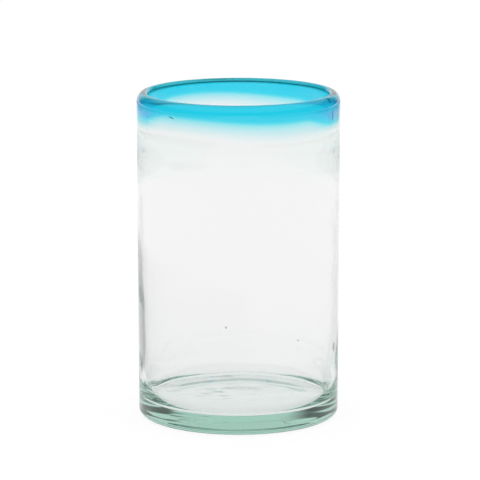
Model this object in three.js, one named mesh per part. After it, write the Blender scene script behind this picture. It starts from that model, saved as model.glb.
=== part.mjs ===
// A hand-blown highball glass: a heavy-bottomed tumbler of clear recycled glass, with a wrap of aqua glass
// laid on its lip. Millimetres, +Z up, origin on the table under the middle of the glass.
import * as THREE from "three";
import { mergeGeometries, mergeVertices } from "three/addons/utils/BufferGeometryUtils.js";

const { lerp, smoothstep } = THREE.MathUtils;

// The blown body
const GLASS_HEIGHT = 135; // table to the crest of the lip
const BODY_DIAMETER = 83.6; // outside wall at the top
const FOOT_TAPER = 0.3; // how much the outside radius shrinks down to the table
const WALL_TOP = 1.6; // wall at the top, before the lip thickens it
const WALL_FOOT = 2.4; // wall where it runs into the base
const FLOOR_THICKNESS = 7.6; // table to the inside floor
const FLOOR_CORNER = 3; // width of the oval corner inside, wall to floor
const FLOOR_CORNER_RISE = 10; // and its height
const HEEL_RADIUS = 2.4; // outside corner, wall to base

// The underside: a shallow hollow, with the round scar of the iron that held the glass while its lip was made
const PUNT_DIAMETER = 66;
const PUNT_DEPTH = 0.35;
const PUNT_EDGE = 8; // width of the slope from the resting ring up to the hollow
const SCAR_DIAMETER = 38;
const SCAR_DEPTH = 0.12;
const SCAR_EDGE = 4; // width of the slope up to the scar

// The lip: a fire-polished bead, thicker than the wall on the inside and rounded mostly on the outside
const LIP_THICKNESS = 4.75;
const LIP_PROUD = 0.1; // how far the bead stands out of the outside wall
const LIP_CROWN = 4.2; // height of the rounding outside
const LIP_INNER_CROWN = 1.6; // height of the tighter rounding inside
const LIP_INNER_SHOULDER = 1.6; // and its width, from the inside to the crest
const LIP_OUTSIDE_TAPER = 6; // height over which the bead dies into the outside wall
const LIP_THICK_DEPTH = 10; // depth below the crest to which the inside stays full
const LIP_INSIDE_TAPER = 30; // height over which it then dies into the inside wall

// The aqua wrap, measured down from the crest: all the wall at first, then a skirt that feathers out over it
const WRAP_SOLID = 6.2; // depth to which the whole wall is aqua
const WRAP_REACH = 14.6; // mean depth of the skirt's edge
const WRAP_FEATHER = 2.2; // power of the skirt's taper: above 1 it thins quickly, then slowly
const WRAP_WANDER = 1.2; // how far the hand-laid edge rises and falls round the glass
const WANDER_WAVES = [
  { share: 0.4, perTurn: 1, start: 0 }, // one long dip, deepest at the right
  { share: 0.6, perTurn: 3, start: 0.42 }, // and three waves, one of which lifts the edge at the front left
];

// Facets
const TURN_STEPS = 72;
const ARC_STEPS = 6;
const SLOPE_STEPS = 4;
const TAPER_STEPS = 8;
const SKIRT_STEPS = 7;
const MERGE_TOLERANCE = 1e-4; // corners closer than this are one corner

const QUARTER_TURN = Math.PI / 2;
const BODY_RADIUS = BODY_DIAMETER / 2;
const LIP_INNER_RADIUS = BODY_RADIUS + LIP_PROUD - LIP_THICKNESS;
const LIP_THIN_DEPTH = LIP_THICK_DEPTH + LIP_INSIDE_TAPER;

// Radii of the two walls at a depth below the crest, from the foot of the rounded top downwards
function outerRadius(depth) {
  const bead = 1 - smoothstep(depth, LIP_CROWN, LIP_CROWN + LIP_OUTSIDE_TAPER);
  return BODY_RADIUS - FOOT_TAPER * depth / GLASS_HEIGHT + LIP_PROUD * bead;
}

function innerRadius(depth) {
  const wall = lerp(WALL_TOP, WALL_FOOT, depth / (GLASS_HEIGHT - FLOOR_THICKNESS));
  const thinned = smoothstep(depth, LIP_THICK_DEPTH, LIP_THIN_DEPTH);
  return lerp(LIP_INNER_RADIUS, outerRadius(depth) - wall, thinned);
}

// Height of the underside at a radius: up from the resting ring to the hollow, and up again to the scar
function undersideHeight(radius) {
  const punt = 1 - smoothstep(radius, PUNT_DIAMETER / 2 - PUNT_EDGE, PUNT_DIAMETER / 2);
  const scar = 1 - smoothstep(radius, SCAR_DIAMETER / 2 - SCAR_EDGE, SCAR_DIAMETER / 2);
  return PUNT_DEPTH * punt + SCAR_DEPTH * scar;
}

// A row of profile points [radius, height]: pointAt is given 0 at the first and 1 at the last
function row(steps, pointAt) {
  return Array.from({ length: steps + 1 }, (_, step) => pointAt(step / steps));
}

// Profile points down, or up, a wall between two depths below the crest
function wallRow(radiusAt, from, to) {
  return row(TAPER_STEPS, (share) => {
    const depth = lerp(from, to, share);
    return [radiusAt(depth), GLASS_HEIGHT - depth];
  });
}

// Profile points out along the underside, over the slope that ends at a diameter
function slopeRow(diameter, edge) {
  return row(SLOPE_STEPS, (share) => {
    const radius = diameter / 2 - edge * (1 - share);
    return [radius, undersideHeight(radius)];
  });
}

// A quarter of an oval about a centre, from one angle to another
function arcRow(centreRadius, centreHeight, across, up, from, to) {
  return row(ARC_STEPS, (share) => {
    const angle = lerp(from, to, share);
    return [centreRadius + across * Math.cos(angle), centreHeight + up * Math.sin(angle)];
  });
}

// The skin that a profile sweeps as it turns about the axis, on the left hand of its path
function turned(profile) {
  const points = profile.map(([radius, height]) => new THREE.Vector2(radius, height));
  return new THREE.LatheGeometry(points, TURN_STEPS);
}

// The same skin seen from its other side
function reversed(skin) {
  const other = skin.clone();
  const corner = other.index.array;
  for (let i = 0; i < corner.length; i += 3) {
    [corner[i + 1], corner[i + 2]] = [corner[i + 2], corner[i + 1]];
  }
  return other;
}

// Lowers and lifts the skirt's edge round the glass: nothing at the solid wrap, all of it at the edge
function wander(piece) {
  const at = piece.attributes.position;
  for (let i = 0; i < at.count; i++) {
    const depth = GLASS_HEIGHT - at.getY(i);
    if (depth > WRAP_REACH + MERGE_TOLERANCE) continue;
    const skirtShare = Math.max(0, (depth - WRAP_SOLID) / (WRAP_REACH - WRAP_SOLID));
    const angle = Math.atan2(at.getX(i), at.getZ(i));
    const wave = WANDER_WAVES.reduce(
      (sum, { share, perTurn, start }) => sum + share * Math.sin(perTurn * angle + start),
      0,
    );
    at.setY(i, at.getY(i) - WRAP_WANDER * wave * skirtShare);
  }
}

// Closes skins that meet edge to edge into one solid, and stands it up along Z
function solid(skins) {
  const joined = mergeGeometries(skins);
  wander(joined);
  joined.deleteAttribute("normal");
  joined.deleteAttribute("uv");
  const closed = mergeVertices(joined, MERGE_TOLERANCE);
  closed.rotateX(QUARTER_TURN);
  closed.computeVertexNormals();
  return closed;
}

// The fused face that both glasses share, from the inside wall down to the skirt's edge outside
const fullWrap = outerRadius(WRAP_SOLID) - innerRadius(WRAP_SOLID);
const seam = turned(row(SKIRT_STEPS, (share) => {
  const depth = lerp(WRAP_SOLID, WRAP_REACH, share);
  return [outerRadius(depth) - fullWrap * (1 - share) ** WRAP_FEATHER, GLASS_HEIGHT - depth];
}));

// The clear body: hollow underside, resting ring, heel and outside wall up to the skirt, the fused face,
// then the inside wall, corner and floor
const heelCentre = outerRadius(GLASS_HEIGHT) - HEEL_RADIUS;
const cornerHeight = FLOOR_THICKNESS + FLOOR_CORNER_RISE;
const cornerCentre = innerRadius(GLASS_HEIGHT - cornerHeight) - FLOOR_CORNER;
const bodyOutside = [
  [0, undersideHeight(0)],
  ...slopeRow(SCAR_DIAMETER, SCAR_EDGE),
  ...slopeRow(PUNT_DIAMETER, PUNT_EDGE),
  ...arcRow(heelCentre, HEEL_RADIUS, HEEL_RADIUS, HEEL_RADIUS, -QUARTER_TURN, 0),
  [outerRadius(WRAP_REACH), GLASS_HEIGHT - WRAP_REACH],
];
const bodyInside = [
  ...wallRow(innerRadius, WRAP_SOLID, LIP_THIN_DEPTH),
  ...arcRow(cornerCentre, cornerHeight, FLOOR_CORNER, FLOOR_CORNER_RISE, 0, -QUARTER_TURN),
  [0, FLOOR_THICKNESS],
];
const tumblerBody = new THREE.Mesh(
  solid([turned(bodyOutside), reversed(seam), turned(bodyInside)]),
  new THREE.MeshStandardMaterial({
    color: "#dfeae5",
    roughness: 0.05,
    metalness: 0,
    transparent: true,
    opacity: 0.35,
  }),
);
tumblerBody.name = "tumbler_body";

// The aqua wrap: the fused face, the outside wall up to the bead, the rounded crown and the inside of the lip
const crestRadius = LIP_INNER_RADIUS + LIP_INNER_SHOULDER;
const outerShoulder = LIP_THICKNESS - LIP_INNER_SHOULDER;
const lipSkin = [
  [outerRadius(WRAP_REACH), GLASS_HEIGHT - WRAP_REACH],
  ...wallRow(outerRadius, LIP_CROWN + LIP_OUTSIDE_TAPER, LIP_CROWN),
  ...arcRow(crestRadius, GLASS_HEIGHT - LIP_CROWN, outerShoulder, LIP_CROWN, 0, QUARTER_TURN).slice(1),
  ...arcRow(
    crestRadius,
    GLASS_HEIGHT - LIP_INNER_CROWN,
    LIP_INNER_SHOULDER,
    LIP_INNER_CROWN,
    QUARTER_TURN,
    Math.PI,
  ).slice(1),
  [innerRadius(WRAP_SOLID), GLASS_HEIGHT - WRAP_SOLID],
];
const lipWrap = new THREE.Mesh(
  solid([seam, turned(lipSkin)]),
  new THREE.MeshStandardMaterial({
    color: "#3ccdec",
    roughness: 0.05,
    metalness: 0,
    transparent: true,
    opacity: 0.6,
  }),
);
lipWrap.name = "aqua_lip_wrap";

const highballGlass = new THREE.Group();
highballGlass.add(tumblerBody, lipWrap);

export default highballGlass;
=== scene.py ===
import math

import bpy
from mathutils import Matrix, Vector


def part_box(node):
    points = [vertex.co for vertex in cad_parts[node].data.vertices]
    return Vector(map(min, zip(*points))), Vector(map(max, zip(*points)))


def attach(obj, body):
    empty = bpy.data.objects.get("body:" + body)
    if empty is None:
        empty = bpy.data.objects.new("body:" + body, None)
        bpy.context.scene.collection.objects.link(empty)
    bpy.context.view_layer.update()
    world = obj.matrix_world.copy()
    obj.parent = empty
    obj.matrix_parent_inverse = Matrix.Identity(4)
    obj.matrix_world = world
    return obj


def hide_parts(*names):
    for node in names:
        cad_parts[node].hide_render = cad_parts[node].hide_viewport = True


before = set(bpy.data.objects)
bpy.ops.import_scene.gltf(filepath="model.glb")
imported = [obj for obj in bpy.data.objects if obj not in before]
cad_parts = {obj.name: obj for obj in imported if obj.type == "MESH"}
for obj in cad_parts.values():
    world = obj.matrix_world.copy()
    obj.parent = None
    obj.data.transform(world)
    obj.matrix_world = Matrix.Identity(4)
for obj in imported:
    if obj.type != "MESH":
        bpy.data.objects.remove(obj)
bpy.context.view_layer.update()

# Camera
# A long lens well over a metre away, above the lip and tilted down, so that the lip and the base show as
# ellipses. Places are in metres.
camera_back = 1.2537
camera_up = 0.3216
camera_aside = 0.00065
camera_tilt = math.radians(11.222)
lens_mm = 231.7
sensor_mm = 36.0

bpy.ops.object.camera_add(
    location=(camera_aside, -camera_back, camera_up),
    rotation=(math.pi / 2 - camera_tilt, 0, 0),
)
camera = bpy.context.object
camera.data.sensor_width = sensor_mm
camera.data.lens = lens_mm
bpy.context.scene.camera = camera

# Clear tumbler body
# One gather of recycled bottle glass, blown to a straight-sided tumbler with a heavy base. The base kept a
# shallow hollow underneath, and in it the rough scar of the iron that held the glass while its lip was made.
MM = 0.001
body_low, body_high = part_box("tumbler_body")
body_radius = (body_high.x - body_low.x) / 2
glass_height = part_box("aqua_lip_wrap")[1].z
foot_taper = 0.3 * MM
wall_top = 1.6 * MM
wall_foot = 2.4 * MM
floor_thickness = 7.6 * MM
floor_corner = 3 * MM
floor_corner_rise = 10 * MM
heel_radius = 2.4 * MM
punt_radius = 33 * MM
punt_depth = 0.35 * MM
punt_edge = 8 * MM
scar_radius = 19 * MM
scar_depth = 0.12 * MM
scar_edge = 9 * MM

# The lip, whose inside the body runs up to, and the wrap's skirt, whose fused face closes the body's top.
# Depths are measured down from the crest of the lip.
lip_proud = 0.1 * MM
lip_thickness = 4.75 * MM
lip_crown = 4.2 * MM
lip_outside_taper = 6 * MM
lip_thick_to = 10 * MM
lip_thin_by = 40 * MM
lip_inner_radius = body_radius + lip_proud - lip_thickness
wrap_solid = 6.2 * MM
wrap_reach = 14.6 * MM
wrap_feather = 2.2  # power of the skirt's taper
wrap_wander = 1.2 * MM
wander_waves = [(0.4, 1, 0.0), (0.6, 3, 0.42)]  # share, waves per turn, start
seam_gap = 0.02 * MM  # keeps the two fused faces apart

turn_steps = 192
seam_steps = 12
merge_distance = 0.002 * MM
smooth_angle = math.radians(26)


def eased(value, start, end):
    """A smooth rise from 0 at start to 1 at end."""
    share = min(max((value - start) / (end - start), 0), 1)
    return share * share * (3 - 2 * share)


def outer_radius(depth):
    """Radius of the outside wall at a depth below the crest of the lip."""
    bead = 1 - eased(depth, lip_crown, lip_crown + lip_outside_taper)
    return body_radius - foot_taper * depth / glass_height + lip_proud * bead


def inner_radius(depth):
    """Radius of the inside wall: thick at the lip, then thin, then slowly thicker down to the base."""
    wall = wall_top + (wall_foot - wall_top) * depth / (glass_height - floor_thickness)
    thinned = eased(depth, lip_thick_to, lip_thin_by)
    return lip_inner_radius + (outer_radius(depth) - wall - lip_inner_radius) * thinned


def shares(steps):
    """Even steps from 0 to 1."""
    return [step / steps for step in range(steps + 1)]


def wall_points(radius_at, start, end, steps):
    """Profile points (radius, height) along a wall between two depths below the crest."""
    depths = [start + (end - start) * share for share in shares(steps)]
    return [(radius_at(depth), glass_height - depth) for depth in depths]


def arc_points(centre, across, up, start, end, steps):
    """Profile points along an oval arc about a centre (radius, height), between two angles in degrees."""
    angles = [math.radians(start + (end - start) * share) for share in shares(steps)]
    return [(centre[0] + across * math.cos(a), centre[1] + up * math.sin(a)) for a in angles]


def seam_points(gap):
    """The fused face between the two glasses, from the inside wall down to the skirt's edge outside."""
    full = outer_radius(wrap_solid) - inner_radius(wrap_solid)
    points = []
    for share in shares(seam_steps):
        depth = wrap_solid + (wrap_reach - wrap_solid) * share
        skirt = full * (1 - share) ** wrap_feather
        sunk = gap * math.sin(math.pi * share)
        points.append((outer_radius(depth) - skirt - sunk, glass_height - depth))
    return points


def underside_height(radius):
    """Height of the underside: a step up from the resting ring to the hollow, and another to the scar."""
    punt = 1 - eased(radius, punt_radius - punt_edge, punt_radius)
    scar = 1 - eased(radius, scar_radius - scar_edge, scar_radius)
    return punt_depth * punt + scar_depth * scar


def spun(name, profile):
    """Draws a profile by extruding one corner from point to point, then spins it round the glass's axis."""
    bpy.ops.object.select_all(action="DESELECT")
    first = profile[0]
    bpy.ops.mesh.primitive_plane_add(size=MM, location=(0, 0, 0))
    piece = bpy.context.object
    piece.name = name
    bpy.ops.object.mode_set(mode="EDIT")
    bpy.ops.mesh.merge(type="CENTER")
    bpy.ops.transform.translate(value=(first[0], 0, first[1]))
    for before, after in zip(profile, profile[1:]):
        move = (after[0] - before[0], 0, after[1] - before[1])
        bpy.ops.mesh.extrude_region_move(TRANSFORM_OT_translate={"value": move})
    bpy.ops.mesh.select_all(action="SELECT")
    bpy.ops.mesh.spin(steps=turn_steps, angle=2 * math.pi, center=(0, 0, 0), axis=(0, 0, 1))
    bpy.ops.mesh.select_all(action="SELECT")
    bpy.ops.mesh.remove_doubles(threshold=merge_distance)
    bpy.ops.mesh.normals_make_consistent(inside=False)
    bpy.ops.object.mode_set(mode="OBJECT")
    return piece


def mark_fused(piece, side):
    """Gives the fused seam's faces, which face outwards (side 1) or inwards (side -1), 1 in an attribute."""
    fused = piece.data.attributes.new("fused", "FLOAT", "FACE")
    for face in piece.data.polygons:
        depth = glass_height - face.center.z
        outward = face.normal.x * face.center.x + face.normal.y * face.center.y
        on_seam = wrap_solid < depth < wrap_reach and outward * side > 0
        fused.data[face.index].value = 1.0 if on_seam else 0.0


def turn_of(corner):
    """Angle round the glass from its front, where the picture is taken from, towards its right."""
    return math.atan2(corner.co.x, -corner.co.y)


def radius_of(corner):
    """Distance of a corner from the glass's axis."""
    return math.hypot(corner.co.x, corner.co.y)


def wave_at(corner):
    """How far the hand-laid skirt dips at a place round the glass, from -1 to 1."""
    return sum(share * math.sin(count * turn_of(corner) + start) for share, count, start in wander_waves)


def wander(piece):
    """Lowers and lifts the skirt round the glass: nothing at the solid wrap, all of it at the edge."""
    for corner in piece.data.vertices:
        depth = glass_height - corner.co.z
        if wrap_solid < depth < wrap_reach + seam_gap:
            skirt = (depth - wrap_solid) / (wrap_reach - wrap_solid)
            corner.co.z -= wrap_wander * wave_at(corner) * skirt


def weighted(piece, group, weight_at):
    """Puts the corners of a piece in a vertex group, each with its weight."""
    weights = piece.vertex_groups.new(name=group)
    for corner in piece.data.vertices:
        weight = weight_at(corner)
        if weight > 0:
            weights.add([corner.index], weight, "REPLACE")


def evened(piece, group, weight_at, step, rounds):
    """Evens out a piece's surface, by a weight for each corner, as hot glass flows."""
    weighted(piece, group, weight_at)
    flow = piece.modifiers.new(group, "SMOOTH")
    flow.vertex_group = group
    flow.factor = step
    flow.iterations = rounds
    bpy.context.view_layer.objects.active = piece
    bpy.ops.object.modifier_apply(modifier=flow.name)


def displaced(piece, group, weight_at, strength, cloud_size=None):
    """Moves a piece's surface along its normals, by a weight for each corner and, with a size, by clouds."""
    weighted(piece, group, weight_at)
    push = piece.modifiers.new(group, "DISPLACE")
    push.vertex_group = group
    push.strength = strength
    push.mid_level = 0
    if cloud_size:
        clouds = bpy.data.textures.new(group, "CLOUDS")
        clouds.noise_scale = cloud_size
        clouds.noise_depth = 1
        push.texture = clouds
        push.texture_coords = "LOCAL"
        push.mid_level = 0.5
    bpy.context.view_layer.objects.active = piece
    bpy.ops.object.modifier_apply(modifier=push.name)


foot_depth = glass_height - floor_thickness - floor_corner_rise
floor_radius = inner_radius(foot_depth) - floor_corner
underside_rows = [  # from radius, to radius, steps
    (0, scar_radius - scar_edge, 12),
    (scar_radius - scar_edge, scar_radius, 6),
    (scar_radius, punt_radius - punt_edge, 4),
    (punt_radius - punt_edge, punt_radius, 8),
]
body_profile = [(0, underside_height(0))]
for row_start, row_end, row_steps in underside_rows:
    for share in shares(row_steps)[1:]:
        row_radius = row_start + (row_end - row_start) * share
        body_profile.append((row_radius, underside_height(row_radius)))
heel_centre = (outer_radius(glass_height) - heel_radius, heel_radius)
body_profile += arc_points(heel_centre, heel_radius, heel_radius, -90, 0, steps=10)
body_profile += wall_points(outer_radius, glass_height - heel_radius, wrap_reach, steps=30)[1:]
body_profile += seam_points(seam_gap)[::-1][1:]
body_profile += wall_points(inner_radius, wrap_solid, lip_thin_by, steps=16)[1:]
body_profile += wall_points(inner_radius, lip_thin_by, foot_depth, steps=36)[1:]
corner_centre = (floor_radius, glass_height - foot_depth)
body_profile += arc_points(corner_centre, floor_corner, floor_corner_rise, 0, -90, steps=16)[1:]
body_profile += [(floor_radius * (1 - share), floor_thickness) for share in shares(steps=24)[1:]]

body = spun("clear_tumbler", body_profile)
mark_fused(body, side=1)
wander(body)

# What the blowing left uneven: how near its true place a corner has to lie to count as on a surface, and
# the heights and radii between which each unevenness fades in or out.
wall_tolerance = 0.3 * MM
inside_corner_tolerance = 0.5 * MM
floor_tolerance = 1 * MM
underside_top = 2 * MM
even_below_lip = 8 * MM
thin_from = 15 * MM
thin_left_by = 110 * MM
thin_left_power = 2
thin_right_by = 40 * MM
thin_right_power = 4
inside_corner_from = 24 * MM
inside_corner_fades_from = 10 * MM
inside_corner_fades_by = 32 * MM
uneven_corner_power = 2
scar_fades_from = -9 * MM
scar_rough_to = 0.8 * scar_radius


def inside_wall(corner):
    """1 on the inside wall, fading out under the lip, and 0 on every other face."""
    depth = glass_height - corner.co.z
    off_wall = abs(radius_of(corner) - inner_radius(depth)) > wall_tolerance
    if off_wall or corner.co.z < floor_thickness + floor_tolerance:
        return 0
    return eased(depth, lip_thick_to + even_below_lip, lip_thin_by + even_below_lip)


def thin_left(corner):
    """The inside wall at the left, which thins slowly all the way up."""
    leftwards = max(0, -math.sin(turn_of(corner))) ** thin_left_power
    return inside_wall(corner) * leftwards * eased(corner.co.z, thin_from, thin_left_by)


def thin_right(corner):
    """The inside wall at the right, which is thin from just above the base."""
    rightwards = max(0, math.sin(turn_of(corner))) ** thin_right_power
    return inside_wall(corner) * rightwards * eased(corner.co.z, thin_from, thin_right_by)


def inside_corner(corner):
    """1 on the inside corner, fading out over the floor and up the wall, and 0 on every other face."""
    radius = radius_of(corner)
    height = corner.co.z
    outside = radius > inner_radius(glass_height - height) + inside_corner_tolerance
    if outside or height < floor_thickness - floor_tolerance:
        return 0
    up_the_wall = eased(height, inside_corner_fades_from, inside_corner_fades_by)
    return eased(radius, inside_corner_from, floor_radius) * (1 - up_the_wall)


def heavy_corner(corner):
    """The inside corner at the back, where the gathered glass ran smooth and left streaks."""
    return inside_corner(corner) * max(0, -math.cos(turn_of(corner)))


def uneven_corner(corner):
    """The inside corner at the left, where the blown glass folded a little."""
    return inside_corner(corner) * max(0, -math.sin(turn_of(corner))) ** uneven_corner_power


def hollow(corner):
    """The hollow under the base, inside the flat resting ring."""
    if corner.co.z >= underside_top:
        return 0
    return 1 - eased(radius_of(corner), punt_radius - punt_edge, punt_radius)


def scarred(corner):
    """The scar under the base, which is rough at the left."""
    if corner.co.z >= underside_top:
        return 0
    leftwards = 1 - eased(corner.co.x, scar_fades_from, 0)
    return leftwards * (1 - eased(radius_of(corner), scar_rough_to, scar_radius))


evened(body, "heavy corner", heavy_corner, step=0.5, rounds=120)
displaced(body, "streaked corner", heavy_corner, strength=0.6 * MM, cloud_size=10 * MM)
displaced(body, "uneven corner", uneven_corner, strength=0.25 * MM, cloud_size=8 * MM)
displaced(body, "blown wall", inside_wall, strength=0.3 * MM, cloud_size=24 * MM)
displaced(body, "thin left", thin_left, strength=-1.0 * MM)
displaced(body, "thin right", thin_right, strength=-1.0 * MM)
displaced(body, "hollow", hollow, strength=0.2 * MM, cloud_size=20 * MM)
displaced(body, "iron scar", scarred, strength=0.25 * MM, cloud_size=5 * MM)


def seed(piece, turn_degrees, height, inset, across, along, lean_degrees=0):
    """A small bubble trapped in the wall: an egg-shaped space whose skin faces into it."""
    turn = math.radians(turn_degrees)
    radius = outer_radius(glass_height - height) - inset
    bpy.ops.object.select_all(action="DESELECT")
    bpy.ops.mesh.primitive_uv_sphere_add(
        segments=20, ring_count=12, radius=1,
        location=(radius * math.sin(turn), -radius * math.cos(turn), height),
        rotation=(0, math.radians(lean_degrees), turn),
        scale=(across / 2, across / 2, along / 2),
    )
    bpy.ops.object.transform_apply(location=True, rotation=True, scale=True)
    bpy.ops.object.mode_set(mode="EDIT")
    bpy.ops.mesh.select_all(action="SELECT")
    bpy.ops.mesh.flip_normals()
    bpy.ops.object.mode_set(mode="OBJECT")
    piece.select_set(True)
    bpy.context.view_layer.objects.active = piece
    bpy.ops.object.join()


def shade_seeds(piece, attribute, first_corner, shade):
    """Gives the corners of the seeds that were added last, from first_corner on, a painted shade in an
    attribute.
    """
    shades = piece.data.attributes[attribute]
    for index in range(first_corner, len(piece.data.vertices)):
        shades.data[index].value = shade


def smoothed(piece):
    """Shades a piece smooth, apart from its sharp edges."""
    bpy.ops.object.select_all(action="DESELECT")
    piece.select_set(True)
    bpy.context.view_layer.objects.active = piece
    bpy.ops.object.shade_smooth_by_angle(angle=smooth_angle)


# Three clear seeds, and a long one at the right, near the base, whose skin is painted dark: painted shade
# for the dark look of that bubble
body_seed_painted_shade = 0.9
body_seed_painted_colour = "#2a3533"
seed(body, turn_degrees=-75, height=45 * MM, inset=1.2 * MM, across=0.5 * MM, along=1.0 * MM)
seed(body, turn_degrees=-7, height=45 * MM, inset=0.9 * MM, across=0.8 * MM, along=0.9 * MM)
seed(body, turn_degrees=36, height=38 * MM, inset=0.9 * MM, across=0.6 * MM, along=0.8 * MM)
clear_corners = len(body.data.vertices)
seed(body, turn_degrees=72, height=30.5 * MM, inset=0.8 * MM, across=1.15 * MM, along=4.2 * MM)
body.data.attributes.new("painted_streak_shade", "FLOAT", "POINT")
shade_seeds(body, "painted_streak_shade", clear_corners, body_seed_painted_shade)
smoothed(body)


def linear(hex_colour):
    """An sRGB hex colour as linear RGBA."""
    channels = [int(hex_colour[i:i + 2], 16) / 255 for i in (1, 3, 5)]
    return [c / 12.92 if c <= 0.04045 else ((c + 0.055) / 1.055) ** 2.4 for c in channels] + [1.0]


def node(tree, kind, inputs=None, **settings):
    """Adds one node, with its settings and with a value or a link for each socket in inputs.

    A mix node's sockets go by number: 0 is the factor, 2 and 3 its two numbers, 6 and 7 its two colours.
    """
    made = tree.nodes.new(kind)
    for name, value in settings.items():
        setattr(made, name, value)
    for socket, value in (inputs or {}).items():
        if isinstance(value, bpy.types.NodeSocket):
            tree.links.new(value, made.inputs[socket])
        else:
            made.inputs[socket].default_value = value
    return made


def new_material(name):
    """A material with an empty node tree."""
    material = bpy.data.materials.new(name)
    material.use_nodes = True
    material.node_tree.nodes.clear()
    return material


glass_ior = 1.52


def polished_glass(tree, skin, tint, density):
    """A fire-polished glass: its skin's colour, its depth's tint, and no bending at the fused face."""
    fused = node(tree, "ShaderNodeAttribute", attribute_name="fused")
    bend = node(tree, "ShaderNodeMath", {
        0: fused.outputs["Fac"], 1: 1 - glass_ior, 2: glass_ior,
    }, operation="MULTIPLY_ADD")
    surface = node(tree, "ShaderNodeBsdfPrincipled", {
        "Base Color": skin,
        "Roughness": 0.0,
        "Transmission Weight": 1.0,
        "IOR": glass_ior,
    })
    tree.links.new(bend.outputs[0], surface.inputs["IOR"])
    depth_tint = node(tree, "ShaderNodeVolumeAbsorption", {"Color": tint, "Density": density})
    node(tree, "ShaderNodeOutputMaterial", {"Surface": surface.outputs[0], "Volume": depth_tint.outputs[0]})


# Recycled bottle glass, fire-polished: no colour through the thin wall, sea green through the thick base,
# and on the long seed a dark skin, painted shade for the dark look of that bubble.
clear_tint = "#99d8c5"
clear_density = 18.0
clear_glass = new_material("clear recycled glass")
tree = clear_glass.node_tree
# Painted shade: the long seed's skin is darkened towards a dark grey green
painted_streak_shade = node(tree, "ShaderNodeAttribute", attribute_name="painted_streak_shade")
clear_skin = node(tree, "ShaderNodeMix", {
    0: painted_streak_shade.outputs["Fac"], 6: linear("#ffffff"), 7: linear(body_seed_painted_colour),
}, data_type="RGBA")
polished_glass(tree, clear_skin.outputs[2], linear(clear_tint), clear_density)
body.data.materials.clear()
body.data.materials.append(clear_glass)
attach(body, "root")
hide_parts("tumbler_body")

# Aqua lip wrap
# A trail of aqua glass laid round the lip and fire-polished with it: a rounded bead, and below it a skirt
# that feathers out over the clear wall.
lip_inner_crown = 1.6 * MM
lip_inner_shoulder = 1.6 * MM
crest_radius = lip_inner_radius + lip_inner_shoulder
outer_shoulder = lip_thickness - lip_inner_shoulder
outer_crown_centre = (crest_radius, glass_height - lip_crown)
inner_crown_centre = (crest_radius, glass_height - lip_inner_crown)
wrap_profile = seam_points(0)
wrap_profile += wall_points(outer_radius, wrap_reach, lip_crown, steps=20)[1:]
wrap_profile += arc_points(outer_crown_centre, outer_shoulder, lip_crown, 0, 90, steps=20)[1:]
wrap_profile += arc_points(inner_crown_centre, lip_inner_shoulder, lip_inner_crown, 90, 180, steps=12)[1:]
wrap_profile += wall_points(inner_radius, lip_inner_crown, wrap_solid, steps=6)[1:]
wrap = spun("aqua_lip", wrap_profile)
mark_fused(wrap, side=-1)

# Two values for the colour: how far below the crest a corner lies, and how near the lip's inner edge, which
# is painted dark as shade. The colour wanders with the skirt and runs lower at the lip's left and right
# ends, told by the turn's sine.
below_crest = wrap.data.attributes.new("below_crest", "FLOAT", "POINT")
painted_lip_shade = wrap.data.attributes.new("painted_lip_shade", "FLOAT", "POINT")
edge_depth = 1.3 * MM
edge_width = 0.5 * MM
colour_wander = 1.1 * MM
front_wave = 0.24  # the wave at the front, where the colour keeps its height
runs_from = 2 * MM
left_dip = 2.8 * MM
left_dip_from = 0.74
right_dip = 4.0 * MM
right_dip_from = 0.66
full_dip_from = 0.92
dip_fades_from = 10 * MM
for corner in wrap.data.vertices:
    depth = glass_height - corner.co.z
    rightwards = math.sin(turn_of(corner))
    running = eased(depth, runs_from, wrap_solid)
    lowered = colour_wander * (wave_at(corner) - front_wave) * running
    dip = left_dip * eased(-rightwards, left_dip_from, full_dip_from)
    dip += right_dip * eased(rightwards, right_dip_from, full_dip_from)
    lowered += dip * running * (1 - eased(depth, dip_fades_from, wrap_reach))
    below_crest.data[corner.index].value = depth - lowered
    inside = 1 if radius_of(corner) < crest_radius else 0
    painted_lip_shade.data[corner.index].value = inside * (1 - eased(abs(depth - edge_depth), 0, edge_width))
wander(wrap)

# Two long seeds with a skin painted dark, painted shade for the dark look of the bubbles, one lying along
# the lip at the left and one standing at the right
wrap_seed_painted_shade = 0.8
wrap_corners = len(wrap.data.vertices)
seed(
    wrap, turn_degrees=-40.5, height=129 * MM, inset=0.8 * MM, across=0.5 * MM, along=2.8 * MM,
    lean_degrees=105,
)
seed(wrap, turn_degrees=76.5, height=126.7 * MM, inset=0.8 * MM, across=1.0 * MM, along=4.4 * MM)
shade_seeds(wrap, "painted_lip_shade", wrap_corners, wrap_seed_painted_shade)
smoothed(wrap)

# Aqua glass, fire-polished: strong where it is the whole wall, paler as the skirt thins, and painted dark
# along the lip's inner edge and on the two long seeds: painted shade for the dark line seen where the eye
# looks through the length of the glass.
aqua_tint = "#89e8f2"
aqua_density = 150.0
aqua_painted_shade_colour = "#083e4c"
aqua_span = 16 * MM
aqua_stops = [  # depth below the crest in millimetres, colour of the skin
    (0.0, "#2ee6fd"), (5.9, "#31e9fe"), (6.7, "#64effe"), (7.3, "#a0f8ff"), (8.0, "#bbfaff"),
    (8.9, "#d2fbff"), (10.4, "#e4fcff"), (12.0, "#f3fdff"), (14.2, "#ffffff"),
]
aqua_glass = new_material("aqua glass")
tree = aqua_glass.node_tree
crest_depth = node(tree, "ShaderNodeAttribute", attribute_name="below_crest")
depth_share = node(tree, "ShaderNodeMapRange", {"Value": crest_depth.outputs["Fac"], "From Max": aqua_span})
fade = node(tree, "ShaderNodeValToRGB", {"Fac": depth_share.outputs[0]})
ramp = fade.color_ramp
while len(ramp.elements) < len(aqua_stops):
    ramp.elements.new(0.5)
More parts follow.
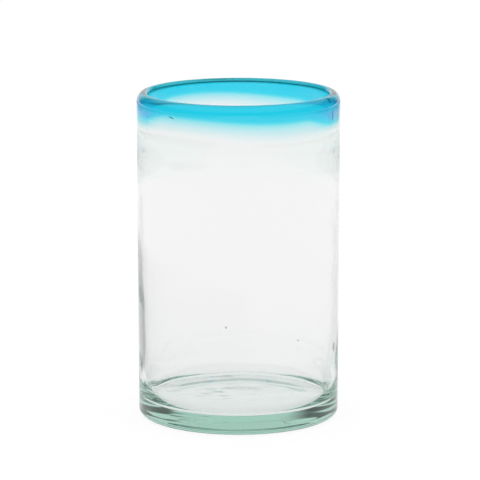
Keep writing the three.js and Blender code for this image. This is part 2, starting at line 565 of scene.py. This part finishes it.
for element, (stop_mm, stop_colour) in zip(ramp.elements, aqua_stops):
    element.position = stop_mm * MM / aqua_span
    element.color = linear(stop_colour)
# Painted shade: the lip's inner edge and the two long seeds are darkened towards a deep teal
edge = node(tree, "ShaderNodeAttribute", attribute_name="painted_lip_shade")
aqua_skin = node(tree, "ShaderNodeMix", {
    0: edge.outputs["Fac"], 6: fade.outputs["Color"], 7: linear(aqua_painted_shade_colour),
}, data_type="RGBA")
polished_glass(tree, aqua_skin.outputs[2], linear(aqua_tint), aqua_density)
wrap.data.materials.clear()
wrap.data.materials.append(aqua_glass)
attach(wrap, "root")
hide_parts("aqua_lip_wrap")

# Studio
# A white paper sweep in a white room. Only the glass shows more: through one wall a grey ring on the paper,
# stronger at the left, which draws the wall's edges, and in its mirror two grey cards at the sides.
sweep_size = 12
sweep_below = 0.2 * MM
through_white = 0.935
through_tint = "#fffbfd"
paper_grey = 0.15
paper_glow = 0.87
edge_grey = 0.36
ring_starts = (0.08, 0.12)  # radii on the paper, in metres
ring_ends = (0.22, 0.37)
ring_pales = (-0.02, 0.10)  # from left to right
ring_right_share = 0.3
one_wall_faces = 2.5  # a ray crosses two faces of one wall
card_grey = 0.35
cards_aside = (0.25, 0.45)
cards_start = (0.74, 0.84)
cards_end = (1.25, 1.50)

bpy.ops.mesh.primitive_plane_add(size=sweep_size, location=(0, 0, -sweep_below))
sweep = bpy.context.object
sweep.name = "sweep"

# White paper, matt: most of its white is a glow of its own, and the rest takes the glass's soft shadow.
white_paper = new_material("white paper")
tree = white_paper.node_tree
ray = node(tree, "ShaderNodeLightPath")
place = node(tree, "ShaderNodeTexCoord")
axes = node(tree, "ShaderNodeSeparateXYZ", {0: place.outputs["Object"]})
reach = node(tree, "ShaderNodeVectorMath", {0: place.outputs["Object"]}, operation="LENGTH")
past_start = node(tree, "ShaderNodeMapRange", {
    "Value": reach.outputs["Value"], "From Min": ring_starts[0], "From Max": ring_starts[1],
}, interpolation_type="SMOOTHSTEP")
before_end = node(tree, "ShaderNodeMapRange", {
    "Value": reach.outputs["Value"], "From Min": ring_ends[0], "From Max": ring_ends[1],
    "To Min": 1.0, "To Max": 0.0,
}, interpolation_type="SMOOTHSTEP")
full_ring = node(tree, "ShaderNodeMath", {
    0: past_start.outputs[0], 1: before_end.outputs[0],
}, operation="MULTIPLY")
leftness = node(tree, "ShaderNodeMapRange", {
    "Value": axes.outputs["X"], "From Min": ring_pales[0], "From Max": ring_pales[1],
    "To Min": 1.0, "To Max": ring_right_share,
}, interpolation_type="SMOOTHSTEP")
ring = node(tree, "ShaderNodeMath", {
    0: full_ring.outputs[0], 1: leftness.outputs[0],
}, operation="MULTIPLY")
one_wall = node(tree, "ShaderNodeMath", {
    0: ray.outputs["Transmission Depth"], 1: one_wall_faces,
}, operation="LESS_THAN")
ring_shown = node(tree, "ShaderNodeMath", {
    0: ring.outputs[0], 1: one_wall.outputs[0],
}, operation="MULTIPLY")
through = node(tree, "ShaderNodeMix", {
    0: ring_shown.outputs[0], 2: through_white, 3: edge_grey,
}, data_type="FLOAT")
off_axis = node(tree, "ShaderNodeMath", {0: axes.outputs["X"]}, operation="ABSOLUTE")
at_side = node(tree, "ShaderNodeMapRange", {
    "Value": off_axis.outputs[0], "From Min": cards_aside[0], "From Max": cards_aside[1],
}, interpolation_type="SMOOTHSTEP")
past_card_start = node(tree, "ShaderNodeMapRange", {
    "Value": reach.outputs["Value"], "From Min": cards_start[0], "From Max": cards_start[1],
}, interpolation_type="SMOOTHSTEP")
before_card_end = node(tree, "ShaderNodeMapRange", {
    "Value": reach.outputs["Value"], "From Min": cards_end[0], "From Max": cards_end[1],
    "To Min": 1.0, "To Max": 0.0,
}, interpolation_type="SMOOTHSTEP")
card_ring = node(tree, "ShaderNodeMath", {
    0: past_card_start.outputs[0], 1: before_card_end.outputs[0],
}, operation="MULTIPLY")
cards = node(tree, "ShaderNodeMath", {
    0: card_ring.outputs[0], 1: at_side.outputs[0],
}, operation="MULTIPLY")
cards_shown = node(tree, "ShaderNodeMath", {
    0: cards.outputs[0], 1: ray.outputs["Is Glossy Ray"],
}, operation="MULTIPLY")
in_mirror = node(tree, "ShaderNodeMix", {
    0: cards_shown.outputs[0], 2: 1.0, 3: card_grey,
}, data_type="FLOAT")
paper_level = node(tree, "ShaderNodeMix", {
    0: ray.outputs["Is Transmission Ray"], 2: in_mirror.outputs[0], 3: through.outputs[0],
}, data_type="FLOAT")
paper_tint = node(tree, "ShaderNodeMix", {
    0: ray.outputs["Is Transmission Ray"], 6: linear("#ffffff"), 7: linear(through_tint),
}, data_type="RGBA")
matt_level = node(tree, "ShaderNodeMath", {0: paper_level.outputs[0], 1: paper_grey}, operation="MULTIPLY")
glow_level = node(tree, "ShaderNodeMath", {0: paper_level.outputs[0], 1: paper_glow}, operation="MULTIPLY")
matt = node(tree, "ShaderNodeBsdfDiffuse", {"Color": matt_level.outputs[0]})
glow = node(tree, "ShaderNodeEmission", {"Color": paper_tint.outputs[2], "Strength": glow_level.outputs[0]})
paper = node(tree, "ShaderNodeAddShader", {0: matt.outputs[0], 1: glow.outputs[0]})
node(tree, "ShaderNodeOutputMaterial", {"Surface": paper.outputs[0]})
sweep.data.materials.append(white_paper)

# The room: plain white to the eye and as light on the paper. In the glass it shows a white screen at the
# back, a dim ceiling and dark sides, which have a bright strip and a white foot where they are seen through
# the glass. Ranges are parts of a ray's direction.
ceiling_grey = 0.55
ceiling_starts = (0.40, 0.60)
screen_starts = (0.78, 0.95)
room_grey = 0.08
room_starts = (0.15, 0.27)
strip_height = 0.22
strip_half = 0.03
strip_core = 0.6 * strip_half
unscattered_below = 0.5

world = bpy.data.worlds.new("white studio")
bpy.context.scene.world = world
world.use_nodes = True
tree = world.node_tree
tree.nodes.clear()
ray = node(tree, "ShaderNodeLightPath")
place = node(tree, "ShaderNodeTexCoord")
axes = node(tree, "ShaderNodeSeparateXYZ", {0: place.outputs["Generated"]})
ceiling = node(tree, "ShaderNodeMapRange", {
    "Value": axes.outputs["Z"], "From Min": ceiling_starts[0], "From Max": ceiling_starts[1],
}, interpolation_type="SMOOTHSTEP")
beside_screen = node(tree, "ShaderNodeMapRange", {
    "Value": axes.outputs["Y"], "From Min": screen_starts[0], "From Max": screen_starts[1],
    "To Min": 1.0, "To Max": 0.0,
}, interpolation_type="SMOOTHSTEP")
up_the_side = node(tree, "ShaderNodeMapRange", {
    "Value": axes.outputs["Z"], "From Min": room_starts[0], "From Max": room_starts[1],
}, interpolation_type="SMOOTHSTEP")
over_strip = node(tree, "ShaderNodeMath", {0: axes.outputs["Z"], 1: strip_height}, operation="SUBTRACT")
from_strip = node(tree, "ShaderNodeMath", {0: over_strip.outputs[0]}, operation="ABSOLUTE")
off_strip = node(tree, "ShaderNodeMapRange", {
    "Value": from_strip.outputs[0], "From Min": strip_core, "From Max": strip_half,
}, interpolation_type="SMOOTHSTEP")
dark_through = node(tree, "ShaderNodeMath", {
    0: up_the_side.outputs[0], 1: off_strip.outputs[0],
}, operation="MULTIPLY")
mirrored = node(tree, "ShaderNodeMath", {
    0: 1.0, 1: ray.outputs["Is Transmission Ray"],
}, operation="SUBTRACT")
dark = node(tree, "ShaderNodeMath", {
    0: dark_through.outputs[0], 1: mirrored.outputs[0],
}, operation="MAXIMUM")
dark_side = node(tree, "ShaderNodeMath", {
    0: beside_screen.outputs[0], 1: dark.outputs[0],
}, operation="MULTIPLY")
wall_level = node(tree, "ShaderNodeMix", {
    0: dark_side.outputs[0], 2: through_white, 3: room_grey,
}, data_type="FLOAT")
room_level = node(tree, "ShaderNodeMix", {
    0: ceiling.outputs[0], 2: wall_level.outputs[0], 3: ceiling_grey,
}, data_type="FLOAT")
in_glass = node(tree, "ShaderNodeMath", {
    0: ray.outputs["Is Glossy Ray"], 1: ray.outputs["Is Transmission Ray"],
}, operation="MAXIMUM")
unscattered = node(tree, "ShaderNodeMath", {
    0: ray.outputs["Diffuse Depth"], 1: unscattered_below,
}, operation="LESS_THAN")
seen_in_glass = node(tree, "ShaderNodeMath", {
    0: in_glass.outputs[0], 1: unscattered.outputs[0],
}, operation="MULTIPLY")
sky_level = node(tree, "ShaderNodeMix", {
    0: seen_in_glass.outputs[0], 2: 1.0, 3: room_level.outputs[0],
}, data_type="FLOAT")
sky = node(tree, "ShaderNodeBackground", {"Color": linear("#ffffff"), "Strength": sky_level.outputs[0]})
node(tree, "ShaderNodeOutputWorld", {"Surface": sky.outputs[0]})

# Colours show as they are written, and light may cross the walls and the base many times
bpy.context.scene.view_settings.view_transform = "Standard"
glass_bounces = 64
cycles = bpy.context.scene.cycles
cycles.max_bounces = glass_bounces
cycles.transmission_bounces = glass_bounces
cycles.glossy_bounces = glass_bounces
cycles.transparent_max_bounces = glass_bounces
